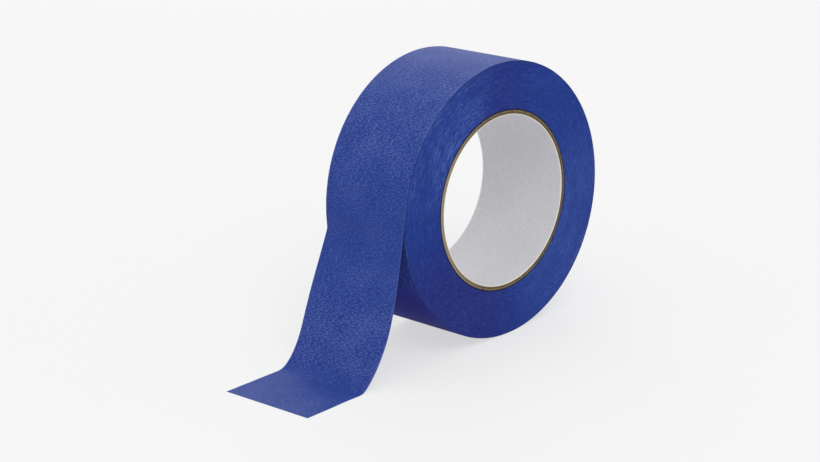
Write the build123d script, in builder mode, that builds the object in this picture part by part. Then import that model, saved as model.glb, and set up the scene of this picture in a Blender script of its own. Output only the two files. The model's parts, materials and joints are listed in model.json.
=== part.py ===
from build123d import *
import os
from math import cos, pi, radians, sin

# A roll of paper masking tape, standing on its edge, with its loose end hanging down and lying flat.
# The origin is the centre of the core's bore. +Y runs along the bore to the back of the roll,
# +Z is up, and the loose end leaves the roll on the -X side.
# All lengths are in millimetres and all angles in degrees.

# Tape
tape_width = 48.0
backing_thickness = 0.110
adhesive_thickness = 0.027
turn_count = 156

# Core: a white paper liner inside plies of brown board
bore_radius = 38.1
liner_thickness = 0.2
board_ply_thickness = 0.5
board_ply_count = 4

# Loose end: bends along its adhesive face, with directions measured from straight down towards -X
peel_clearance = 0.1
hinge_gap = 0.3
peel_bend_radius = 9.0
hanging_direction = 20.0
curl_radius = 58.0
curl_direction = 45.0
crease_radius = 9.0
flat_direction = 90.0
cut_end_x = -123.4

# Outermost turn: where it is counted as ended, as a share of a full turn, and the gap that is left there
outer_turn = 0.99
outer_turn_gap = 0.1

# Sizes that follow
tape_thickness = backing_thickness + adhesive_thickness
liner_radius = bore_radius + liner_thickness
core_radius = liner_radius + board_ply_count * board_ply_thickness
peel_radius = core_radius + turn_count * tape_thickness
floor_z = -(peel_radius - 0.75 * tape_thickness)
outer_turn_end = outer_turn - outer_turn_gap / (2 * pi * peel_radius)


def spiral_point(turn, depth):
    """Point at a depth under the roll's outer face, some turns back along the tape from the peel line."""
    radius = peel_radius - turn * tape_thickness - depth
    angle = 2 * pi * turn
    return (-radius * cos(angle), radius * sin(angle))


def draw_spiral(depth):
    """Draw one face of the outermost turn, from the peel line back, in four arcs."""
    for quarter in range(4):
        ThreePointArc(
            spiral_point(outer_turn_end * quarter / 4, depth),
            spiral_point(outer_turn_end * (quarter + 0.5) / 4, depth),
            spiral_point(outer_turn_end * (quarter + 1) / 4, depth),
        )


def straight(station, length):
    """The station at the end of a straight run. A station is x, z and direction."""
    x, z, direction = station
    along = radians(direction)
    return (x - length * sin(along), z - length * cos(along), direction)


def bend(station, radius, end_direction):
    """The station at the end of a bend towards -X, whose radius is that of the adhesive face."""
    x, z, direction = station
    start, end = radians(direction), radians(end_direction)
    return (x - radius * (cos(start) - cos(end)), z - radius * (sin(end) - sin(start)), end_direction)


def face_point(station, depth):
    """Point at a depth into the tape, measured outwards from its adhesive face."""
    x, z, direction = station
    along = radians(direction)
    return (x - depth * cos(along), z + depth * sin(along))


def draw_face(stations, radii, depth):
    """Draw one face of a layer. A radius of None means a straight run to the next station."""
    for first, last, radius in zip(stations, stations[1:], radii):
        start = face_point(first, depth)
        end = face_point(last, depth)
        if radius is None:
            Line(start, end)
        else:
            middle = bend(first, radius, (first[2] + last[2]) / 2)
            ThreePointArc(start, face_point(middle, depth), end)


def outer_turn_layer(name, near, far):
    """Make one layer of the outermost turn, between two depths under its outer face, and write it."""
    with BuildPart() as layer:
        with BuildSketch(Plane.XZ):
            with BuildLine():
                draw_spiral(near)
                draw_spiral(far)
                for turn in (0, outer_turn_end):
                    Line(spiral_point(turn, near), spiral_point(turn, far))
            make_face()
        extrude(amount=tape_width / 2, both=True)
    layer.part.label = name
    export_step(layer.part, f"parts/{name}.step")


def tape_layer(name, stations, radii, near, far):
    """Make one layer of a stretch of the loose end, between two depths, and write it."""
    with BuildPart() as layer:
        with BuildSketch(Plane.XZ):
            with BuildLine():
                draw_face(stations, radii, near)
                draw_face(stations, radii, far)
                for end in (stations[0], stations[-1]):
                    Line(face_point(end, near), face_point(end, far))
            make_face()
        extrude(amount=tape_width / 2, both=True)
    layer.part.label = name
    export_step(layer.part, f"parts/{name}.step")


def tape_stretch(name, stations, radii):
    """Make the adhesive and the paper backing of one stretch of the loose end."""
    tape_layer(f"{name}_adhesive", stations, radii, 0, adhesive_thickness)
    tape_layer(f"{name}_backing", stations, radii, adhesive_thickness, tape_thickness)


os.makedirs("parts", exist_ok=True)

# White liner: the innermost ply of the core, and the wall of the bore
with BuildPart() as core_liner:
    with BuildSketch(Plane.XZ):
        Circle(liner_radius)
        Circle(bore_radius, mode=Mode.SUBTRACT)
    extrude(amount=tape_width / 2, both=True)
core_liner.part.label = "core_liner"
export_step(core_liner.part, "parts/core_liner.step")

# Brown board plies, glued one on another from the liner outwards
for ply_number in range(1, board_ply_count + 1):
    ply_outer_radius = liner_radius + ply_number * board_ply_thickness
    with BuildPart() as core_ply:
        with BuildSketch(Plane.XZ):
            Circle(ply_outer_radius)
            Circle(ply_outer_radius - board_ply_thickness, mode=Mode.SUBTRACT)
        extrude(amount=tape_width / 2, both=True)
    core_ply.part.label = f"core_ply_{ply_number}"
    export_step(core_ply.part, f"parts/core_ply_{ply_number}.step")

# Wound tape: all the turns under the outermost one, which starts at the step in this outline
with BuildPart() as wound_tape:
    with BuildSketch(Plane.XZ):
        with BuildLine():
            draw_spiral(tape_thickness)
            Line(spiral_point(outer_turn_end, tape_thickness), spiral_point(outer_turn, tape_thickness))
            Line(spiral_point(outer_turn, tape_thickness), spiral_point(outer_turn, 0))
            Line(spiral_point(outer_turn, 0), spiral_point(1, 0))
        make_face()
        Circle(core_radius, mode=Mode.SUBTRACT)
    extrude(amount=tape_width / 2, both=True)
wound_tape.part.label = "wound_tape"
export_step(wound_tape.part, "parts/wound_tape.step")

# Outermost turn: the adhesive and the paper backing that leave the roll at the peel line
outer_turn_layer("outer_turn_adhesive", backing_thickness, tape_thickness)
outer_turn_layer("outer_turn_backing", 0, backing_thickness)

# Stations along the adhesive face of the loose end, from the peel line to the cut end
peel_line = (-(peel_radius + peel_clearance), 0, 0)
lift_hinge_near = bend(peel_line, peel_bend_radius, hanging_direction)
lift_hinge_far = straight(lift_hinge_near, hinge_gap)
drop_of_curl = curl_radius * (sin(radians(curl_direction)) - sin(radians(hanging_direction)))
drop_of_gap = hinge_gap * cos(radians(curl_direction))
drop_of_crease = crease_radius * (1 - sin(radians(curl_direction)))
hanging_drop = lift_hinge_far[1] - floor_z - drop_of_curl - drop_of_gap - drop_of_crease
curl_start = straight(lift_hinge_far, hanging_drop / cos(radians(hanging_direction)))
crease_hinge_near = bend(curl_start, curl_radius, curl_direction)
crease_hinge_far = straight(crease_hinge_near, hinge_gap)
flat_start = bend(crease_hinge_far, crease_radius, flat_direction)
cut_end = straight(flat_start, flat_start[0] - cut_end_x)

# Peel strip: the first lifted stretch, which travels round the roll as tape is unwound
tape_stretch("peel_strip", [peel_line, lift_hinge_near], [peel_bend_radius])

# Hanging run: straight, then curling outwards
tape_stretch("hanging_run", [lift_hinge_far, curl_start, crease_hinge_near], [None, curl_radius])

# End flap: the crease above the floor, then the flat stretch up to the cut end
tape_stretch("end_flap", [crease_hinge_far, flat_start, cut_end], [crease_radius, None])

# Hinge axes run along Y through the middle of each gap, halfway through the tape
for hinge, station in (("lift", lift_hinge_near), ("crease", crease_hinge_near)):
    axis_x, axis_z = face_point(straight(station, hinge_gap / 2), tape_thickness / 2)
    print(f"{hinge} hinge axis at x {axis_x:.4f}, z {axis_z:.4f}")
print(f"outer radius {peel_radius:.3f}, floor at z {floor_z:.4f}, flat stretch from x {flat_start[0]:.3f}")
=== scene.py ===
import bpy
import json
import math
import numpy as np
from mathutils import Matrix, Vector


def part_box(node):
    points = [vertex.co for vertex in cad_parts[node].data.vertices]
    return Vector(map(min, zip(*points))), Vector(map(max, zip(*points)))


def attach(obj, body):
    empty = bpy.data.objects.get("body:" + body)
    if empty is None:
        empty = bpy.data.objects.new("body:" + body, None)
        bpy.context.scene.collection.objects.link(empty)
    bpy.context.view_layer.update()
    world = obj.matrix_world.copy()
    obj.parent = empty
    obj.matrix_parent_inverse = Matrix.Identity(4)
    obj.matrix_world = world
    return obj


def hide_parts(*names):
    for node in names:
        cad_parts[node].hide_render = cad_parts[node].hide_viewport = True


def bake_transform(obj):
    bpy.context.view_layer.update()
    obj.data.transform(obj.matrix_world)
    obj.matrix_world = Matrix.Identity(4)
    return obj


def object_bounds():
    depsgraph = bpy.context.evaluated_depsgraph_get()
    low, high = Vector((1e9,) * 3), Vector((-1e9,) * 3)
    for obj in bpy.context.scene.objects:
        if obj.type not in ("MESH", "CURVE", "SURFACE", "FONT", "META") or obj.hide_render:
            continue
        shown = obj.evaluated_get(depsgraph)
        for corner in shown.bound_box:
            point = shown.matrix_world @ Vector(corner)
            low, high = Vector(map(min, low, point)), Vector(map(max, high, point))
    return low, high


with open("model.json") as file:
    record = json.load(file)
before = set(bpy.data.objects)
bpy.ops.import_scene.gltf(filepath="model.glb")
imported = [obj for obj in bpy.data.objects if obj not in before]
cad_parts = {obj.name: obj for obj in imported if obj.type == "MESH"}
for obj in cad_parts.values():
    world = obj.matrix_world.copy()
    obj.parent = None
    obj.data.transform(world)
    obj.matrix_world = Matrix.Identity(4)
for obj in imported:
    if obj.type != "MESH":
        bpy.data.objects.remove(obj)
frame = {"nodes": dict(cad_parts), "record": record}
cad_low, cad_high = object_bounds()

# The looks of a roll of blue masking tape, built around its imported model. Lengths are in millimetres up to
# the moment when a mesh, a light or the camera is made, and Blender's own units are metres.
MM = 0.001


def low(node, axis):
    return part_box(node)[0][axis] / MM


def high(node, axis):
    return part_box(node)[1][axis] / MM


# ---------------------------------------------------------------- sizes from the frame

# The roll turns about Y, and its front side faces -Y.
HALF_WIDTH = cad_high.y / MM
FLOOR_Z = cad_low.z / MM
CUT_END_X = cad_low.x / MM
BORE_RADIUS = frame["record"]["mounts"][0]["dims"]["r_mm"]
LINER_RADIUS = high("core_liner", 0)
PLY_RADII = [high(f"core_ply_{number}", 0) for number in (1, 2, 3, 4)]
CORE_RADIUS = PLY_RADII[-1]
PEEL_RADIUS = -low("outer_turn_backing", 0)
MIDDLE_RADIUS = (CORE_RADIUS + PEEL_RADIUS) / 2
FULL_TURN = 2 * math.pi * PEEL_RADIUS
TAPE = PEEL_RADIUS + low("wound_tape", 0)
ADHESIVE = TAPE - (PEEL_RADIUS + low("outer_turn_adhesive", 0))
BACKING = TAPE - ADHESIVE

# ---------------------------------------------------------------- places along the tape

# The tape is counted in s, the distance along it from the peel line on the -X side: negative going back over
# the top of the roll, positive along the loose end. The loose end's model starts at START, inside the
# outermost turn, and hides that turn from COVERED_START on. Its two pieces meet at SPLIT, and it lies on the
# floor from FLAT_START on. The tape that the loose end has uncovered is between the outermost turn's start,
# a full turn back, and FRESH_START at the bottom of the roll.
START = -16.0
COVERED_START = START + 6.5
SPLIT = 24.0
FLAT_START = 73.0
FRESH_START = -0.75 * FULL_TURN
OUTERMOST_LENGTH = 0.999 * FULL_TURN

# Directions of the loose end's two edges, in degrees from straight down towards -X, at distances s.
# It is twisted: its front edge leaves the roll earlier and more gently than its back edge. Each route is
# smoothed a few times, and the cut is a little askew, by CUT_SKEW either way.
FRONT_PEEL = -12.0
BACK_PEEL = 4.2
FRONT_ROUTE = [(0, 12), (16, 13.8), (32, 17), (40, 22), (50, 31), (58, 38), (66, 48), (69, 58), (72, 90)]
BACK_ROUTE = [(6.2, 25), (24, 26.6), (36, 24), (48, 22.5), (56, 31), (63, 42), (68, 58), (72.5, 90)]
ROUTE_SMOOTHING = 3
CUT_SKEW = 1.0

# Grids of the backing: the distance between rows along the tape, the columns between its rounded edges, and
# the rows of the flat stretch
ROW_SPACING = 0.36
COLUMNS = 57
FLAT_ROWS = 84

# ---------------------------------------------------------------- colours, as linear red, green and blue

CREPE_DEEP = (0.004, 0.021, 0.190)
CREPE_PAINTED_SHADE = (0.002, 0.030, 0.245)
CREPE_MID = (0.016, 0.050, 0.290)
CREPE_PALE = (0.120, 0.172, 0.450)
CREPE_BLOOM = (0.64, 0.87, 1)
FRESH_PAINTED_SHADE = (0.005, 0.008, 0.120)
FRESH_DEEP_AND_SHADE = (0.013, 0.014, 0.205)
FRESH_PALE_AND_SHADE = (0.030, 0.029, 0.265)
EDGE_DEEP = (0.001, 0.014, 0.150)
EDGE_MID = (0.004, 0.038, 0.285)
EDGE_PALE = (0.090, 0.156, 0.475)
EDGE_SHADE_VIOLET = (0.006, 0.012, 0.155)
ADHESIVE_DEEP = (0.020, 0.045, 0.230)
ADHESIVE_MID = (0.035, 0.070, 0.290)
LINER_DEEP = (0.590, 0.585, 0.608)
LINER_PALE = (0.660, 0.655, 0.680)
LINER_RIM = (0.93, 0.91, 0.89)
GAP_PAINTED_SHADE = (0.006, 0.006, 0.016)
BOARD_PAINTED_LIGHT = (0.46, 0.38, 0.27)
FLOOR_GREY = (0.30, 0.30, 0.30)

# The name, pale colour and dark colour of each board ply, from the liner outwards
BOARDS = (
    ("core_board_pale", (0.31, 0.240, 0.135), (0.15, 0.114, 0.060)),
    ("core_board_dark", (0.15, 0.113, 0.060), (0.035, 0.026, 0.013)),
    ("core_board_pale_outer", (0.29, 0.223, 0.122), (0.12, 0.090, 0.046)),
    ("core_board_dark_outer", (0.19, 0.146, 0.082), (0.05, 0.038, 0.020)),
)

# Where painted shade makes the crepe deeper in colour, by the peel line, at the bend to the floor and on the
# flat end: the middle of each stretch, how far it reaches, and by how much
PAINTED_SHADE_PLACES = ((2, 40, 0.46), (75, 15, 0.42), (100, 34, 0.22))


# ---------------------------------------------------------------- noise and relief

def noise(u, v, seed):
    """Smooth noise from -1 to 1 on arrays of places, with features about 1 across."""
    size = 256
    table = np.random.default_rng(seed).uniform(-1, 1, (size, size))
    whole_u, whole_v = np.floor(u).astype(int), np.floor(v).astype(int)
    part_u, part_v = u - whole_u, v - whole_v
    part_u = part_u * part_u * (3 - 2 * part_u)
    part_v = part_v * part_v * (3 - 2 * part_v)
    corners = [[table[(whole_u + i) % size, (whole_v + j) % size] for j in (0, 1)] for i in (0, 1)]
    near = corners[0][0] * (1 - part_v) + corners[0][1] * part_v
    far = corners[1][0] * (1 - part_v) + corners[1][1] * part_v
    return near * (1 - part_u) + far * part_u


def ramp(value, start, end):
    """0 before start, 1 after end, smooth between."""
    t = np.clip((value - start) / (end - start), 0, 1)
    return t * t * (3 - 2 * t)


def crepe(s, y):
    """Height of the crepe's wrinkles, which run across the tape, at places on its backing."""
    wander = 1.4 * noise(s / 9, y / 7, 11)
    wrinkles = noise((s + wander) / 1.05, y / 2.6, 12)
    fibres = noise((s + 0.4 * y) / 0.8, y / 0.9, 13)
    return 0.020 * wrinkles + 0.012 * fibres


def edge_rounding(y):
    """How far the backing's outer face drops at the slit edges."""
    drop, reach = 0.035, 0.2
    return drop * (1 - ramp(HALF_WIDTH - np.abs(y), 0, reach))


def across_tape():
    """Places across the tape, closer together at its two edges."""
    edge = [HALF_WIDTH, HALF_WIDTH - 0.06, HALF_WIDTH - 0.2]
    middle = np.linspace(-(HALF_WIDTH - 0.5), HALF_WIDTH - 0.5, COLUMNS)
    return np.concatenate([[-place for place in edge], middle, edge[::-1]])


# ---------------------------------------------------------------- meshes

def make_piece(name, points, faces, uvs, materials, face_materials=None, sharp=35):
    """Make a smooth-shaded mesh from points in millimetres, with one UV for each point."""
    mesh = bpy.data.meshes.new(name)
    mesh.from_pydata((np.asarray(points) * MM).tolist(), [], faces)
    layer = mesh.uv_layers.new(name="tape")
    corner_points = np.zeros(len(mesh.loops), int)
    mesh.loops.foreach_get("vertex_index", corner_points)
    layer.data.foreach_set("uv", np.asarray(uvs, np.float32)[corner_points].ravel())
    for material in materials:
        mesh.materials.append(material)
    if face_materials is not None:
        mesh.polygons.foreach_set("material_index", face_materials)
    mesh.polygons.foreach_set("use_smooth", [True] * len(mesh.polygons))
    mesh.validate()
    mesh.set_sharp_from_angle(angle=math.radians(sharp))
    piece = bpy.data.objects.new(name, mesh)
    bpy.context.scene.collection.objects.link(piece)
    return piece


def grid_faces(first, rows, columns, flip=False):
    """Quads of a grid whose points are numbered row by row."""
    faces = []
    for row in range(rows - 1):
        for column in range(columns - 1):
            a = first + row * columns + column
            quad = (a, a + 1, a + columns + 1, a + columns)
            faces.append(quad[::-1] if flip else quad)
    return faces


def round_faces(first_row, next_row, steps):
    """Quads between two closed rings of points, numbered round the axis."""
    faces = []
    for column in range(steps):
        after = (column + 1) % steps
        faces.append((first_row + column, next_row + column, next_row + after, first_row + after))
    return faces


def ribbon(name, outer, inner, outer_uv, inner_uv, materials):
    """Make a thin closed solid between two grids with the same rows, given as (row, column, xyz) arrays.
    The first material is for the outer face, and the last one for the inner face and the edges."""
    rows, columns = outer.shape[:2]
    inner_columns = inner.shape[1]
    start = rows * columns
    faces = grid_faces(0, rows, columns)
    outer_count = len(faces)
    faces += grid_faces(start, rows, inner_columns, flip=True)
    for row in range(rows - 1):
        a, b = row * columns, start + row * inner_columns
        faces.append((a, a + columns, b + inner_columns, b))
        a, b = a + columns - 1, b + inner_columns - 1
        faces.append((a + columns, a, b, b + inner_columns))
    for row, flip in ((0, False), (rows - 1, True)):
        a, b = row * columns, start + row * inner_columns
        rim = list(range(b, b + inner_columns)) + list(range(a + columns - 1, a - 1, -1))
        faces.append(rim[::-1] if flip else rim)
    points = np.concatenate([outer.reshape(-1, 3), inner.reshape(-1, 3)])
    uvs = np.concatenate([outer_uv.reshape(-1, 2), inner_uv.reshape(-1, 2)])
    which = [0] * outer_count + [len(materials) - 1] * (len(faces) - outer_count)
    return make_piece(name, points, faces, uvs, materials, which)


# ---------------------------------------------------------------- materials

class Paint:
    """A new material, and the nodes that its recipe is made of. A value that a node is given is a number, a
    vector or a colour, or else another node's output."""

    def __init__(self, name):
        self.material = bpy.data.materials.new(name)
        self.material.use_nodes = True
        self.nodes = self.material.node_tree.nodes
        self.links = self.material.node_tree.links
        self.shader = self.nodes["Principled BSDF"]

    def feed(self, socket, value):
        if isinstance(value, bpy.types.NodeSocket):
            self.links.new(value, socket)
        else:
            socket.default_value = value

    def math(self, operation, first, second=0):
        node = self.nodes.new("ShaderNodeMath")
        node.operation = operation
        self.feed(node.inputs[0], first)
        self.feed(node.inputs[1], second)
        return node.outputs["Value"]

    def vector(self, operation, first, second=None):
        node = self.nodes.new("ShaderNodeVectorMath")
        node.operation = operation
        self.feed(node.inputs[0], first)
        if second is not None:
            self.feed(node.inputs["Scale"] if operation == "SCALE" else node.inputs[1], second)
        return node.outputs["Value" if operation in ("LENGTH", "DOT_PRODUCT") else "Vector"]

    def between(self, value, start, end, low_result=0.0, high_result=1.0):
        """Map a value between two limits to a result between two others."""
        node = self.nodes.new("ShaderNodeMapRange")
        node.inputs["From Min"].default_value = start
        node.inputs["From Max"].default_value = end
        node.inputs["To Min"].default_value = low_result
        node.inputs["To Max"].default_value = high_result
        self.feed(node.inputs["Value"], value)
        return node.outputs["Result"]

    def mix(self, factor, first, second):
        """Blend two colours."""
        node = self.nodes.new("ShaderNodeMix")
        node.data_type = "RGBA"
        self.feed(node.inputs["Factor"], factor)
        for socket, colour in ((node.inputs[6], first), (node.inputs[7], second)):
            self.feed(socket, (*colour, 1) if isinstance(colour, tuple) else colour)
        return node.outputs[2]

    def noise(self, place, detail, roughness):
        node = self.nodes.new("ShaderNodeTexNoise")
        node.inputs["Scale"].default_value = 1
        node.inputs["Detail"].default_value = detail
        node.inputs["Roughness"].default_value = roughness
        self.feed(node.inputs["Vector"], place)
        return node.outputs["Fac"]

    def axes(self, place):
        """The X, Y and Z of a place, each under its own letter."""
        node = self.nodes.new("ShaderNodeSeparateXYZ")
        self.feed(node.inputs["Vector"], place)
        return node.outputs

    def object_places(self):
        return self.nodes.new("ShaderNodeTexCoord").outputs["Object"]

    def tape_places(self, along=1, across=1):
        """The tape's own coordinates, s and y in millimetres, scaled along and across it."""
        place = self.nodes.new("ShaderNodeUVMap")
        place.uv_map = "tape"
        mapping = self.nodes.new("ShaderNodeMapping")
        mapping.inputs["Scale"].default_value = (along, across, 1)
        self.feed(mapping.inputs["Vector"], place.outputs["UV"])
        return mapping.outputs["Vector"]

    def polar_places(self):
        """Radius in millimetres and direction from the bore's axis, at places on the roll's sides."""
        flat = self.vector("MULTIPLY", self.object_places(), (1 / MM, 0, 1 / MM))
        return self.vector("LENGTH", flat), self.vector("NORMALIZE", flat)

    def towards(self, direction, x, z):
        """1 where the direction from the bore's axis is this one, falling to -1 opposite."""
        return self.vector("DOT_PRODUCT", direction, Vector((x, 0, z)).normalized())

    def grain(self, along, across, detail=2.0, roughness=0.5):
        """Noise with so many features for each millimetre along and across the tape."""
        return self.noise(self.tape_places(along, across), detail, roughness)

    def turned_grain(self, along, across, detail=2.0, roughness=0.5):
        """Noise with so many features for each millimetre round the roll and out along its radius."""
        radius, direction = self.polar_places()
        outwards = self.nodes.new("ShaderNodeCombineXYZ")
        self.feed(outwards.inputs["Y"], self.math("MULTIPLY", radius, across))
        ring_place = self.vector("SCALE", direction, along * MIDDLE_RADIUS)
        place = self.vector("ADD", ring_place, outwards.outputs["Vector"])
        return self.noise(place, detail, roughness)

    def surface(self, colour, roughness, specular):
        self.feed(self.shader.inputs["Base Color"], colour)
        self.feed(self.shader.inputs["Roughness"], roughness)
        self.shader.inputs["Specular IOR Level"].default_value = specular

    def bump(self, height, strength, depth):
        node = self.nodes.new("ShaderNodeBump")
        node.inputs["Strength"].default_value = strength
        node.inputs["Distance"].default_value = depth * MM
        self.feed(node.inputs["Height"], height)
        self.feed(self.shader.inputs["Normal"], node.outputs["Normal"])


# In these recipes, a grain is given its features for each millimetre in two directions, then its detail and
# roughness. A value that is put between is given two limits, then its results at them. Limits that are
# counted from HALF_WIDTH, FRESH_START, CORE_RADIUS or PEEL_RADIUS are millimetres, and the rest are values of
# the noise or shares. A surface is given its colour, roughness and specular level, and a bump its height,
# strength and depth.

def crepe_paper(name, is_fresh_and_shaded):
    """Blue crepe backing: fine wrinkles across the tape, pale fibres, and paler edges, partly wear and partly
    a painted highlight where the edges catch the light. Painted shade deepens it by the peel line, at the
    bend and on the flat end. Fresh paper is less glossy and has no bloom. Where the loose end was peeled off
    it, it is deep violet, partly the paper's own colour and partly painted shade, with painted shade darkest
    towards the bottom of the roll, and at both ends of that stretch it fades into the blue of the rest."""
    paint = Paint(name)
    wrinkles = paint.grain(1.25, 0.36, 4, 0.66)
    fibres = paint.grain(1.9, 0.62, 3, 0.62)
    cloud = paint.grain(0.07, 0.05, 3)
    colour = paint.mix(paint.between(wrinkles, 0.34, 0.64), CREPE_DEEP, CREPE_MID)
    pale = paint.between(fibres, 0.45, 0.70, 0, 0.88)
    pale = paint.math("MULTIPLY", pale, paint.between(cloud, 0.34, 0.66, 0.66, 1.04))
    colour = paint.mix(pale, colour, CREPE_PALE)
    colour = paint.mix(paint.between(cloud, 0.44, 0.70, 0, 0.12), colour, CREPE_PALE)
    place = paint.axes(paint.tape_places())
    off_middle = paint.math("ABSOLUTE", place["Y"])
    # Paler edges: partly wear and partly a painted highlight where the edges catch the light.
    wear_and_highlight = paint.between(off_middle, HALF_WIDTH - 0.9, HALF_WIDTH - 0.2, 0, 0.35)
    patchy = paint.between(paint.grain(0.05, 0.02, 3), 0.36, 0.56)
    colour = paint.mix(paint.math("MULTIPLY", wear_and_highlight, patchy), colour, CREPE_PALE)
    # Painted shade: the crepe is deeper at the places listed above.
    for middle, reach, depth in PAINTED_SHADE_PLACES:
        distance = paint.math("ABSOLUTE", paint.math("SUBTRACT", place["X"], middle))
        colour = paint.mix(paint.between(distance, reach, reach * 0.2, 0, depth), colour, CREPE_PAINTED_SHADE)
    # The stretch the loose end uncovered is deep violet, partly the paper's own colour and partly painted
    # shade.
    if is_fresh_and_shaded:
        past_bottom = paint.between(place["X"], FRESH_START - 1, FRESH_START - 16)
        before_start = paint.between(place["X"], FRESH_START - 60, FRESH_START - 88, 1, 0)
        smooth = paint.mix(paint.between(fibres, 0.38, 0.68), FRESH_DEEP_AND_SHADE, FRESH_PALE_AND_SHADE)
        # Painted shade, darkest towards the bottom of the roll.
        shade_near_bottom = paint.between(place["X"], FRESH_START - 75, FRESH_START - 28, 0, 0.95)
        smooth = paint.mix(shade_near_bottom, smooth, FRESH_PAINTED_SHADE)
        colour = paint.mix(paint.math("MULTIPLY", past_bottom, before_start), colour, smooth)
    paint.surface(colour, paint.between(fibres, 0.3, 0.8, 0.52, 0.70), 0.03 if is_fresh_and_shaded else 0.17)
    paint.shader.inputs["Sheen Weight"].default_value = 0.0 if is_fresh_and_shaded else 0.05
    paint.shader.inputs["Sheen Roughness"].default_value = 0.40
    paint.shader.inputs["Sheen Tint"].default_value = (*CREPE_BLOOM, 1)
    paint.bump(paint.math("ADD", wrinkles, paint.math("MULTIPLY", fibres, 0.5)), 0.6, 0.16)
    return paint.material


def slit_edges():
    """The roll's sides: the slit edges of every turn, with short streaks that follow the turns. Painted shade
    makes them violet at the lower left and the top, and painted highlights make their threads pale at the
    upper left and the lower right, over a few pale threads everywhere. Painted shade darkens them by the core
    and by the rim."""
    paint = Paint("slit_edges")
    streaks = paint.turned_grain(0.14, 1.9, 3, 0.62)
    threads = paint.turned_grain(0.34, 3.0, 2, 0.62)
    grooves = paint.turned_grain(0.05, 3.5, 1, 0.5)
    dust = paint.turned_grain(0.5, 1.4, 3, 0.65)
    patches = paint.turned_grain(0.05, 0.12, 3)
    radius, direction = paint.polar_places()
    colour = paint.mix(paint.between(streaks, 0.32, 0.68), EDGE_DEEP, EDGE_MID)
    # Painted shade: violet at the lower left and the top.
    shade_lower_left = paint.between(paint.towards(direction, -0.62, -0.79), 0.62, 0.95, 0, 0.85)
    top = paint.between(paint.towards(direction, 0, 1), 0.90, 1, 0, 0.5)
    colour = paint.mix(paint.math("MAXIMUM", shade_lower_left, top), colour, EDGE_SHADE_VIOLET)
    # Painted highlights: pale threads at the upper left and the lower right, and a few everywhere.
    upper_left = paint.between(paint.towards(direction, -0.70, 0.71), 0.76, 1, 0.12, 1)
    to_lower_right = paint.towards(direction, 0.87, -0.50)
    lower_right = paint.between(to_lower_right, 0.58, 1, 0.12, 0.5)
    speckle_and_highlight = paint.math("MAXIMUM", upper_left, lower_right)
    speckle_and_highlight = paint.math("MULTIPLY", paint.between(patches, 0.36, 0.62, 0.3, 1), speckle_and_highlight)
    pale = paint.math("MULTIPLY", paint.between(threads, 0.42, 0.66, 0, 0.9), speckle_and_highlight)
    colour = paint.mix(pale, colour, EDGE_PALE)
    # Painted highlight: a little paler towards the lower right.
    colour = paint.mix(paint.between(to_lower_right, 0.5, 0.95, 0, 0.08), colour, EDGE_PALE)
    colour = paint.mix(paint.between(dust, 0.52, 0.76, 0, 0.27), colour, EDGE_PALE)
    # Painted shade in the gap by the core.
    by_the_core = paint.between(radius, CORE_RADIUS + 0.30, CORE_RADIUS + 0.12)
    colour = paint.mix(by_the_core, colour, GAP_PAINTED_SHADE)
    # Painted shade in the groove by the outermost turn.
    shade_by_the_rim = paint.between(radius, PEEL_RADIUS - 0.75, PEEL_RADIUS - 0.35, 0, 0.45)
    colour = paint.mix(shade_by_the_rim, colour, GAP_PAINTED_SHADE)
    paint.surface(colour, paint.between(threads, 0.3, 0.7, 0.42, 0.60), 0.13)
    paint.bump(paint.math("ADD", grooves, paint.math("MULTIPLY", threads, 0.6)), 0.7, 0.14)
    return paint.material


def slit_edge():
    """The slit edge of a single thickness of tape, in the crepe's own colours and fibrous along it."""
    paint = Paint("slit_edge")
    fibres = paint.grain(0.9, 0.9, 3, 0.6)
    paint.surface(paint.mix(paint.between(fibres, 0.35, 0.75, 0, 0.5), CREPE_DEEP, CREPE_PALE), 0.65, 0.13)
    paint.bump(fibres, 0.5, 0.08)
    return paint.material


def adhesive():
    """The adhesive: smooth and slightly glossy, with the backing's blue behind it and small bubbles."""
    paint = Paint("adhesive")
    coat = paint.grain(0.25, 0.35, 3, 0.55)
    bubbles = paint.grain(1.6, 1.6, 2, 0.5)
    colour = paint.mix(paint.between(coat, 0.3, 0.7), ADHESIVE_DEEP, ADHESIVE_MID)
    colour = paint.mix(paint.between(bubbles, 0.62, 0.8, 0, 0.4), colour, CREPE_PALE)
    paint.surface(colour, paint.between(bubbles, 0.3, 0.7, 0.28, 0.42), 0.45)
    paint.bump(paint.math("ADD", coat, bubbles), 0.25, 0.05)
    return paint.material


def board(name, light, dark, outermost):
    """Brown paperboard seen on its cut edge, with fibres along the ply. It has painted light on the -X side
    and painted shade on the +X side, and the outermost ply has painted shade where it meets the tape."""
    paint = Paint(name)
    fibres = paint.turned_grain(1.3, 2.2, 3, 0.65)
    blotches = paint.turned_grain(0.45, 0.7, 3, 0.6)
    colour = paint.mix(paint.between(fibres, 0.38, 0.62), dark, light)
    colour = paint.mix(paint.between(blotches, 0.5, 0.68, 0, 0.7), colour, dark)
    radius, direction = paint.polar_places()
    # Painted light on the -X side and painted shade on the +X side.
    board_painted_light = paint.between(paint.towards(direction, -1, 0.05), 0.35, 1, 0, 0.5)
    colour = paint.mix(board_painted_light, colour, BOARD_PAINTED_LIGHT)
    board_painted_shade = paint.between(paint.towards(direction, 1, -0.1), 0.5, 1, 0, 0.4)
    colour = paint.mix(board_painted_shade, colour, dark)
    if outermost:
        # Painted shade where the outermost ply meets the tape.
        shade_by_the_tape = paint.between(radius, CORE_RADIUS - 0.34, CORE_RADIUS - 0.16)
        colour = paint.mix(shade_by_the_tape, colour, GAP_PAINTED_SHADE)
    paint.surface(colour, 0.85, 0.2)
    paint.bump(fibres, 0.6, 0.12)
    return paint.material


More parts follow.
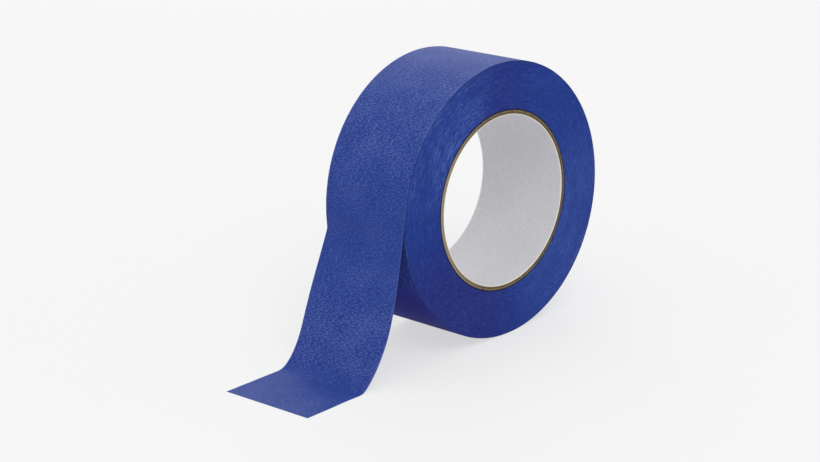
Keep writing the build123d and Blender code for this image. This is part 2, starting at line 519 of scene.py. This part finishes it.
def liner_paper():
    """White liner paper, faintly mottled, with fine fibres and a paler rim."""
    paint = Paint("liner_paper")
    places = paint.object_places()
    fibres = paint.noise(paint.vector("SCALE", places, 0.62 / MM), 4, 0.65)
    mottle = paint.noise(paint.vector("SCALE", places, 0.06 / MM), 3, 0.55)
    colour = paint.mix(paint.between(fibres, 0.35, 0.65), LINER_DEEP, LINER_PALE)
    colour = paint.mix(paint.between(mottle, 0.35, 0.7, 0, 0.5), colour, LINER_DEEP)
    off_middle = paint.math("ABSOLUTE", paint.axes(places)["Y"])
    rim = paint.between(off_middle, (HALF_WIDTH - 0.6) * MM, (HALF_WIDTH - 0.1) * MM, 0, 0.9)
    paint.surface(paint.mix(rim, colour, LINER_RIM), 0.7, 0.2)
    paint.bump(fibres, 0.25, 0.08)
    return paint.material


def glowing_floor():
    """Plain matt grey that gives off some white light of its own."""
    paint = Paint("floor")
    paint.surface((*FLOOR_GREY, 1), 1, 0)
    paint.shader.inputs["Emission Color"].default_value = (1, 1, 1, 1)
    paint.shader.inputs["Emission Strength"].default_value = 0.605
    return paint.material


crepe_material = crepe_paper("crepe_paper", is_fresh_and_shaded=False)
fresh_and_shaded_material = crepe_paper("crepe_paper_fresh_and_shaded", is_fresh_and_shaded=True)
sides_material = slit_edges()
edge_material = slit_edge()
adhesive_material = adhesive()
liner_material = liner_paper()
ply_materials = [board(*recipe, outermost=recipe is BOARDS[-1]) for recipe in BOARDS]


# ---------------------------------------------------------------- the wound tape

def on_roll(s, radius):
    """Point of the roll's XZ section at a distance s along the tape, as x and z arrays."""
    angle = s / PEEL_RADIUS
    return -radius * np.cos(angle), -radius * np.sin(angle)


def spiral_radius(s):
    """Radius of the outermost turn's outer face, which drops by one thickness in a full turn back."""
    return PEEL_RADIUS + TAPE * s / FULL_TURN


def wound_tape():
    """All the turns under the outermost one, as one spiral of slit edges on each side of the roll."""
    steps = 240
    first_radius = PEEL_RADIUS - TAPE
    turns = round((first_radius - CORE_RADIUS) / TAPE)
    count = (turns + 1) * steps
    turn = np.arange(count) / steps
    angle = 2 * math.pi * turn
    radius = np.maximum(first_radius - turn * TAPE, CORE_RADIUS)
    x, z = -radius * np.cos(angle), radius * np.sin(angle)
    around = (angle % (2 * math.pi)) * MIDDLE_RADIUS
    # The sides are just inside the tape's width, and sink a little where they meet the core.
    inset, sunk, sunk_reach = 0.045, 0.22, 0.35
    by_the_core = 1 - ramp(radius - CORE_RADIUS, 0, sunk_reach)
    # The back side has its own stretch of the UV map, this far along from the front side's.
    back_uv_offset = 800
    sides, uvs = [], []
    for side, seed, uv_offset in ((-1, 21, 0), (1, 31, back_uv_offset)):
        each_turn = noise(turn * 0.97, angle * 1.1, seed)
        groups = noise(turn * 0.21, angle * 0.45, seed + 1)
        slow = noise(turn * 0.035, angle * 0.16, seed + 2)
        relief = 0.012 * each_turn + 0.030 * groups + 0.035 * slow
        y = side * (HALF_WIDTH - inset + relief * (1 - by_the_core) - sunk * by_the_core)
        sides.append(np.stack([x, y, z], 1))
        uvs.append(np.stack([around + uv_offset, PEEL_RADIUS - radius], 1))
    # Each side's points go inwards, turn after turn. The last turn is a full circle on the core, so its end
    # is joined to its own start.
    last_turn = count - steps
    front = [(point, point + steps, point + steps + 1, point + 1) for point in range(last_turn - 1)]
    front.append((last_turn - 1, count - 1, last_turn))
    faces = front + [tuple(point + count for point in face[::-1]) for face in front]
    # Between the sides, the outer wall follows the first turn and the inner wall follows the last one, and
    # one more face closes the step where the first turn starts.
    for outside in range(steps):
        faces.append((outside, outside + 1, outside + 1 + count, outside + count))
        inside, after = last_turn + outside, last_turn + (outside + 1) % steps
        faces.append((after, inside, inside + count, after + count))
    faces.append((steps, 0, count, steps + count))
    piece = make_piece(
        "wound_tape_turns", np.concatenate(sides), faces, np.concatenate(uvs), [sides_material], sharp=60
    )
    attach(piece, "roll")
    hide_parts("wound_tape")


def outermost_turn():
    """The backing of the outermost turn, whose crepe face is the roll's tread."""
    s = np.linspace(-OUTERMOST_LENGTH, 0, round(OUTERMOST_LENGTH / ROW_SPACING))
    y = across_tape()
    s_grid, y_grid = np.meshgrid(s, y, indexing="ij")
    x, z = on_roll(s_grid, spiral_radius(s_grid) + crepe(s_grid, y_grid) - edge_rounding(y_grid))
    outer = np.stack([x, y_grid, z], 2)
    s_edge, y_edge = np.meshgrid(s, [-HALF_WIDTH, HALF_WIDTH], indexing="ij")
    x, z = on_roll(s_edge, spiral_radius(s_edge) - BACKING)
    inner = np.stack([x, y_edge, z], 2)
    outer_uv, inner_uv = np.stack([s_grid, y_grid], 2), np.stack([s_edge, y_edge], 2)
    materials = [crepe_material, fresh_and_shaded_material, edge_material]
    piece = ribbon("outermost_turn", outer, inner, outer_uv, inner_uv, materials)
    # The outer face comes first in the mesh, row by row.
    quads = len(y) - 1
    fresh_and_shaded_index = materials.index(fresh_and_shaded_material)
    for row in range(len(s) - 1):
        if s[row] > COVERED_START or s[row] < FRESH_START:
            for polygon in piece.data.polygons[row * quads:(row + 1) * quads]:
                polygon.material_index = fresh_and_shaded_index
    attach(piece, "roll")
    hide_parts("outer_turn_backing")


def outer_turn_adhesive():
    """The adhesive of the outermost turn keeps its CAD mesh, in the adhesive's material."""
    materials = frame["nodes"]["outer_turn_adhesive"].data.materials
    materials.clear()
    materials.append(adhesive_material)


# ---------------------------------------------------------------- the loose end

def direction_along(s, peel, route):
    """Direction of one edge at distances s: tangent to the roll up to its peel point, then its route."""
    on_the_roll = np.degrees(-s / PEEL_RADIUS)
    places = [peel] + [place for place, _ in route]
    directions = [math.degrees(-peel / PEEL_RADIUS)] + [direction for _, direction in route]
    free = np.interp(s, places, directions)
    for _ in range(ROUTE_SMOOTHING):
        free[1:-1] = (free[:-2] + 2 * free[1:-1] + free[2:]) / 4
    return np.where(s < peel, on_the_roll, free)


def hanging_face(across):
    """The adhesive face from START down to the floor: s for each row, and x, z and direction in radians for
    each row and column. Columns are given as shares of the width, from the front edge."""
    s = np.arange(START, FLAT_START + 0.01, ROW_SPACING)
    front = direction_along(s, FRONT_PEEL, FRONT_ROUTE)
    back = direction_along(s, BACK_PEEL, BACK_ROUTE)
    direction = np.radians(front[:, None] * (1 - across) + back[:, None] * across)
    # The face starts inside the roll's outermost turn and comes out above the peel line.
    start_depth, rise, rise_reach = 0.05, 0.10, 9
    start_x, start_z = on_roll(START, spiral_radius(START) - TAPE - start_depth)
    risen = rise * ramp(s, START, START + rise_reach)[:, None]
    # Each column is a walk along its directions, scaled so that it ends on the floor.
    step = np.diff(s)[:, None]
    middle = (direction[1:] + direction[:-1]) / 2
    fall = np.cumsum(np.vstack([np.zeros(len(across)), np.cos(middle) * step]), axis=0)
    out = np.cumsum(np.vstack([np.zeros(len(across)), np.sin(middle) * step]), axis=0)
    scale = (start_z - FLOOR_Z) / fall[-1]
    return s, start_x - out * scale - risen, start_z - fall * scale, direction


def flat_face(start_x, across):
    """The adhesive face on the floor, from x for each column up to the cut end, as hanging_face gives it."""
    share = np.arange(1, FLAT_ROWS)[:, None] / (FLAT_ROWS - 1)
    cut_x = CUT_END_X + CUT_SKEW * (1 - 2 * across)
    x = start_x + (cut_x - start_x) * share
    # The tape is stuck down, but its edges lift a little in places.
    most_lift = 0.5
    near_edge = np.abs(2 * across - 1) ** 6
    lift = most_lift * near_edge * np.clip(noise(share * 3.1, np.sign(2 * across - 1) * 5 + 40, 17), 0, 1)
    z = FLOOR_Z + lift * ramp(share, 0, 0.2)
    s = FLAT_START + share[:, 0] * float(np.mean(start_x - cut_x))
    return s, x, z, np.full(x.shape, math.pi / 2)


def loose_end():
    """The tape from just above the peel line to its cut end, in two stretches that meet halfway down."""
    y = across_tape()
    across = (y + HALF_WIDTH) / (2 * HALF_WIDTH)
    hanging = hanging_face(across)
    flat = flat_face(hanging[1][-1], across)
    s, x, z, direction = (np.concatenate(pair) for pair in zip(hanging, flat))
    s_grid, y_grid = np.meshgrid(s, y, indexing="ij")
    uv = np.stack([s_grid, y_grid], 2)

    def face(depth):
        return np.stack([x - depth * np.cos(direction), y_grid, z + depth * np.sin(direction)], 2)

    crepe_height = crepe(s_grid, y_grid) - edge_rounding(y_grid)
    split = int(np.searchsorted(s, SPLIT))
    stretches = (
        ("loose_end_upper", slice(0, split + 1), ("peel_strip", "hanging_run")),
        ("loose_end_lower", slice(split, len(s)), ("hanging_run", "end_flap")),
    )
    for name, rows, bodies in stretches:
        outer, seam, under = face(TAPE + crepe_height)[rows], face(ADHESIVE)[rows], face(0)[rows]
        part_uv = uv[rows]
        backing = ribbon(f"{name}_backing", outer, seam, part_uv, part_uv, [crepe_material, edge_material])
        coat = ribbon(f"{name}_adhesive", seam, under, part_uv, part_uv, [adhesive_material])
        for piece, layer in ((backing, "backing"), (coat, "adhesive")):
            if bodies[0] == "peel_strip":
                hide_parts(f"peel_strip_{layer}", f"hanging_run_{layer}")
                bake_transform(piece)
            else:
                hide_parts(f"end_flap_{layer}")
                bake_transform(piece)


# ---------------------------------------------------------------- the core

def ring(name, inner_radius, outer_radius, material, seed, corner=0.05):
    """A tube with slightly rough, rounded ends, a hair shorter than the tape is wide."""
    steps = 240
    wall = outer_radius - inner_radius
    end = HALF_WIDTH - 0.03
    straight_end = end - 0.3
    fuzz_height, fuzz_reach = 0.02, 0.1
    inner_wall = [(inner_radius, y) for y in (straight_end, end / 2, 0, -end / 2, -straight_end)]
    front_end = [(inner_radius, -end + corner), (inner_radius + corner, -end)]
    front_end += [(inner_radius + wall / 2, -end), (outer_radius - corner, -end)]
    front_end += [(outer_radius, -end + corner), (outer_radius, -straight_end)]
    back_end = [(radius, -y) for radius, y in front_end[::-1]]
    profile = inner_wall + front_end + back_end
    angle = np.linspace(0, 2 * math.pi, steps, endpoint=False)
    points, uvs = [], []
    for number, (radius, y) in enumerate(profile):
        fuzz = fuzz_height * noise(angle * 24, np.full(steps, number * 1.7), seed)
        y_fuzzy = y + fuzz * (abs(y) > end - fuzz_reach)
        points.append(np.stack([radius * np.cos(angle), y_fuzzy, radius * np.sin(angle)], 1))
        uvs.append(np.stack([angle * CORE_RADIUS, np.full(steps, y)], 1))
    faces = []
    for row in range(len(profile)):
        faces += round_faces(row * steps, (row + 1) % len(profile) * steps, steps)
    piece = make_piece(name, np.concatenate(points), faces, np.concatenate(uvs), [material], sharp=50)
    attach(piece, "roll")
    return piece


def core():
    """The board plies, from the liner outwards, and the liner inside them."""
    inner_radius = LINER_RADIUS
    for number, (outer_radius, material) in enumerate(zip(PLY_RADII, ply_materials), 1):
        ply = ring(f"core_ply_{number}_edge", inner_radius, outer_radius, material, 40 + number)
        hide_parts(f"core_ply_{number}")
        inner_radius = outer_radius
    liner = ring("core_liner_paper", BORE_RADIUS, LINER_RADIUS, liner_material, 50, corner=0.04)
    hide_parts("core_liner")


# ---------------------------------------------------------------- floor, light and camera

def area_light(name, place, size, power):
    """A rectangular light of so many watts that faces the middle of the roll."""
    light = bpy.data.lights.new(name, "AREA")
    light.shape = "RECTANGLE"
    light.size, light.size_y = (side * MM for side in size)
    light.energy = power
    lamp = bpy.data.objects.new(name, light)
    lamp.location = [distance * MM for distance in place]
    lamp.rotation_euler = (-lamp.location).to_track_quat("-Z", "Y").to_euler()
    bpy.context.scene.collection.objects.link(lamp)


def round_floor():
    """A round sweep, flat under the object and curving up all round it."""
    steps = 96
    flat_radius, bend_radius, bend_end = 2400, 1400, 60
    bend = np.radians(np.linspace(0, bend_end, 13))
    # The middle of the flat part is a ring too small to be seen.
    profile = [(0.001, 0), (600, 0), (1500, 0)]
    profile += [(flat_radius + bend_radius * math.sin(t), bend_radius * (1 - math.cos(t))) for t in bend]
    around = np.linspace(0, 2 * math.pi, steps, endpoint=False)
    points = [(r * math.cos(t), r * math.sin(t), FLOOR_Z + height) for r, height in profile for t in around]
    faces = []
    for row in range(len(profile) - 1):
        faces += round_faces(row * steps, (row + 1) * steps, steps)
    floor = make_piece("floor", points, faces, [(x, y) for x, y, _ in points], [glowing_floor()])


def studio():
    """Soft white light from all round, three area lights and the floor."""
    scene = bpy.context.scene
    scene.view_settings.view_transform = "Standard"
    world = bpy.data.worlds.new("studio")
    world.use_nodes = True
    background = world.node_tree.nodes["Background"]
    background.inputs["Color"].default_value = (1, 1, 1, 1)
    background.inputs["Strength"].default_value = 0.73
    scene.world = world
    round_floor()
    area_light("key", (-720, -1250, 1450), (1000, 1000), 12)
    area_light("back", (1100, 1250, 1050), (1600, 1000), 8)
    area_light("top", (150, 250, 1900), (1200, 1200), 2.5)


def camera():
    """The photograph's viewpoint: a long lens from the front left, a little above, and slightly rolled."""
    azimuth, elevation, roll = math.radians(-44.64), math.radians(18.15), math.radians(-2.77)
    distance, right_offset, up_offset = 933.1, -24.94, -16.53
    focal_length, sensor_width = 92.23, 36
    nearest_seen, farthest_seen = 10, 30000
    back = Vector((
        math.sin(azimuth) * math.cos(elevation),
        -math.cos(azimuth) * math.cos(elevation),
        math.sin(elevation),
    ))
    right = (-back).cross(Vector((0, 0, 1))).normalized()
    up = right.cross(-back)
    rolled_right = right * math.cos(roll) + up * math.sin(roll)
    rolled_up = up * math.cos(roll) - right * math.sin(roll)
    data = bpy.data.cameras.new("camera")
    data.lens = focal_length
    data.sensor_width = sensor_width
    data.clip_start, data.clip_end = nearest_seen * MM, farthest_seen * MM
    lens = bpy.data.objects.new("camera", data)
    turn = Matrix((rolled_right, rolled_up, back)).transposed().to_4x4()
    place = (back * distance + right * right_offset + up * up_offset) * MM
    lens.matrix_world = Matrix.Translation(place) @ turn
    bpy.context.scene.collection.objects.link(lens)
    bpy.context.scene.camera = lens


camera()
studio()
wound_tape()
outermost_turn()
loose_end()
core()
outer_turn_adhesive()
